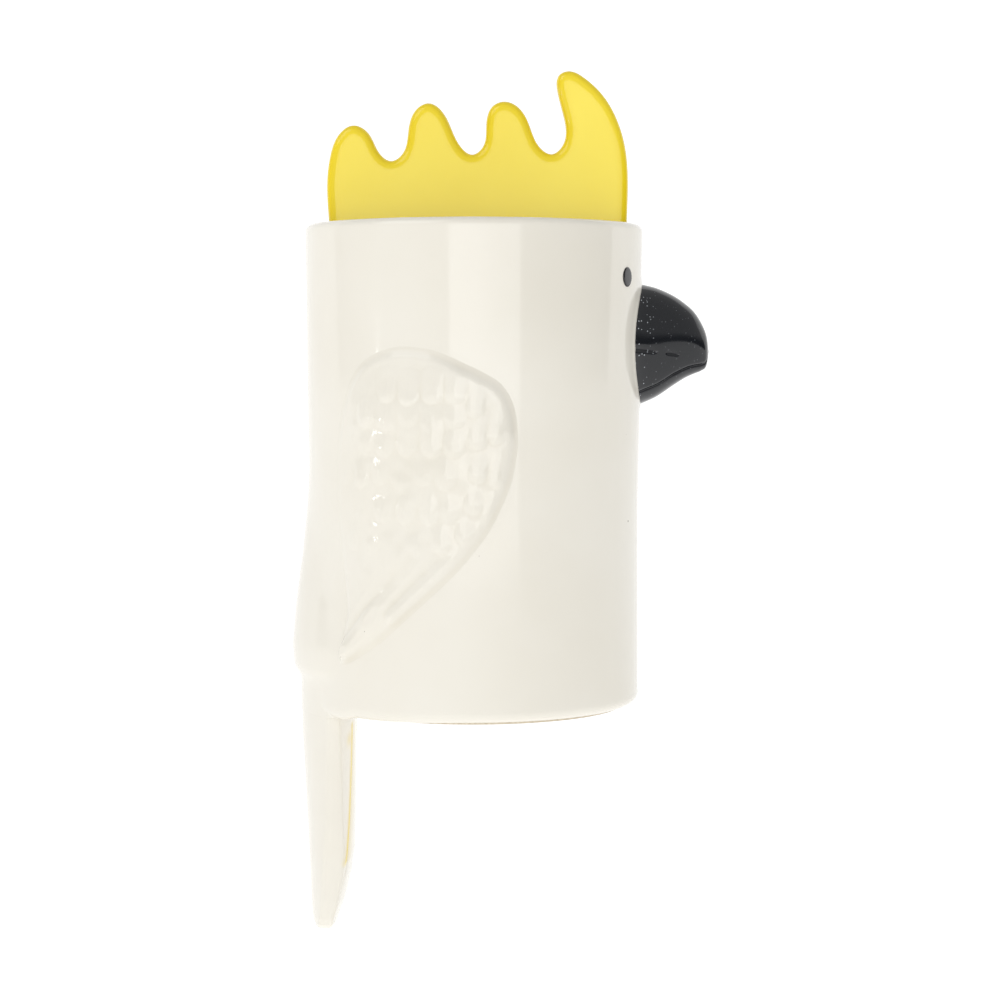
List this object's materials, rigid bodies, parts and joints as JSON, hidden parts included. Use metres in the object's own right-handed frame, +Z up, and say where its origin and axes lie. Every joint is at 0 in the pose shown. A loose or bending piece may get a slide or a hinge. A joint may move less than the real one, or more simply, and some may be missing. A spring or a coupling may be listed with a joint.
{
  "type": "lidded ceramic jar",
  "caption": "Glazed cockatoo-shaped jar with a lift-off crested lid, made to sit at a shelf's edge with its tail hanging below.",
  "frame": {"origin": "centre of the foot's resting plane, on the vessel's vertical axis", "axes": "+X towards the beak, +Y the bird's left, +Z up out of the mouth"},
  "size_m": [0.1269, 0.1066, 0.2613],
  "materials": {
    "cream_glaze": "gloss",
    "yellow_glaze": "gloss",
    "charcoal_glaze": "gloss",
    "black_glaze": "gloss",
    "bare_clay": "matte"
  },
  "bodies": {
    "jar": {"foot_ring": "bare_clay", "left_eye": "black_glaze", "left_greater_coverts": "cream_glaze", "left_median_coverts": "cream_glaze", "left_primary_feathers": "cream_glaze", "left_secondary_feathers": "cream_glaze", "left_shoulder_coverts": "cream_glaze", "left_tail_side_feather": "cream_glaze", "left_wing_panel": "cream_glaze", "lower_beak": "charcoal_glaze", "right_eye": "black_glaze", "right_greater_coverts": "cream_glaze", "right_median_coverts": "cream_glaze", "right_primary_feathers": "cream_glaze", "right_secondary_feathers": "cream_glaze", "right_shoulder_coverts": "cream_glaze", "right_tail_side_feather": "cream_glaze", "right_wing_panel": "cream_glaze", "tail_centre_feather": "cream_glaze", "upper_beak": "charcoal_glaze", "upper_tail_coverts": "cream_glaze", "vessel": "cream_glaze"},
    "lid": {"lid_plate": "cream_glaze", "lid_locating_ring": "cream_glaze", "crest": "yellow_glaze"}
  },
  "joints": [
    {"name": "lid_lift", "type": "slide", "parent": "jar", "child": "lid", "axis": [0, 0, 1], "range_m": [0, 0.06]}
  ]
}
